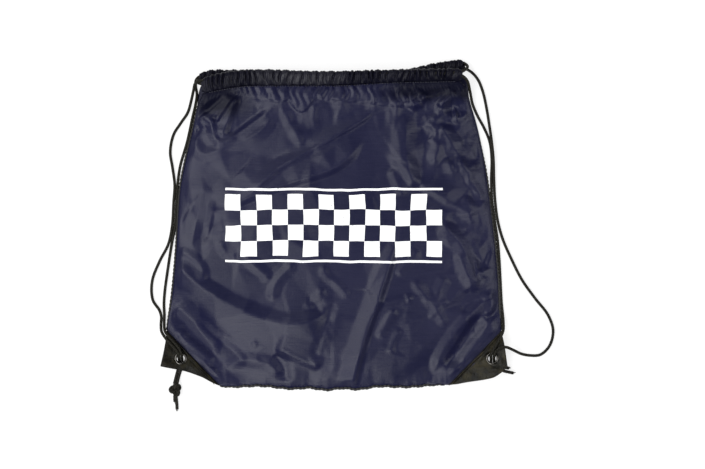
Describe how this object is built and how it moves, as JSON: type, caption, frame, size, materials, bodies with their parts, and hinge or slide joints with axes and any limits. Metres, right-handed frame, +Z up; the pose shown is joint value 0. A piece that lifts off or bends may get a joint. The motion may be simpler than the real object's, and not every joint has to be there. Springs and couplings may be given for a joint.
{
  "type": "motorcycle helmet bag",
  "caption": "Flat drawstring sack of coated nylon cloth for a motorcycle helmet, lying empty, with ruffled casings, leather-look corners, eyelets and thin braided cords.",
  "frame": {"origin": "on the surface that the sack lies on, under the middle of its width, 216 mm above the lowest point of the bottom seam", "axes": "+X to the right side, +Y from the bottom seam to the mouth, +Z up, out of the front"},
  "size_m": [0.5262, 0.4561, 0.0293],
  "materials": {
    "back_cloth": "coated nylon weave, slightly glossy",
    "front_cloth": "coated nylon weave, slightly glossy, with a white printed panel",
    "casing_cloth": "gathered coated nylon weave",
    "corner_leather": "black coated leather-look sheet, satin",
    "eyelet_metal": "polished nickel",
    "cord_braid": "braided polyester cord"
  },
  "bodies": {
    "root": {"back_panel": "back_cloth", "front_panel": "front_cloth", "back_casing": "casing_cloth", "front_casing": "casing_cloth", "patch_back_left": "corner_leather", "patch_back_right": "corner_leather", "patch_front_left": "corner_leather", "patch_front_right": "corner_leather", "eyelet_left": "eyelet_metal", "eyelet_right": "eyelet_metal", "drawcord_left": "cord_braid", "drawcord_right": "cord_braid", "knot_left": "cord_braid", "knot_right": "cord_braid"}
  },
  "joints": []
}
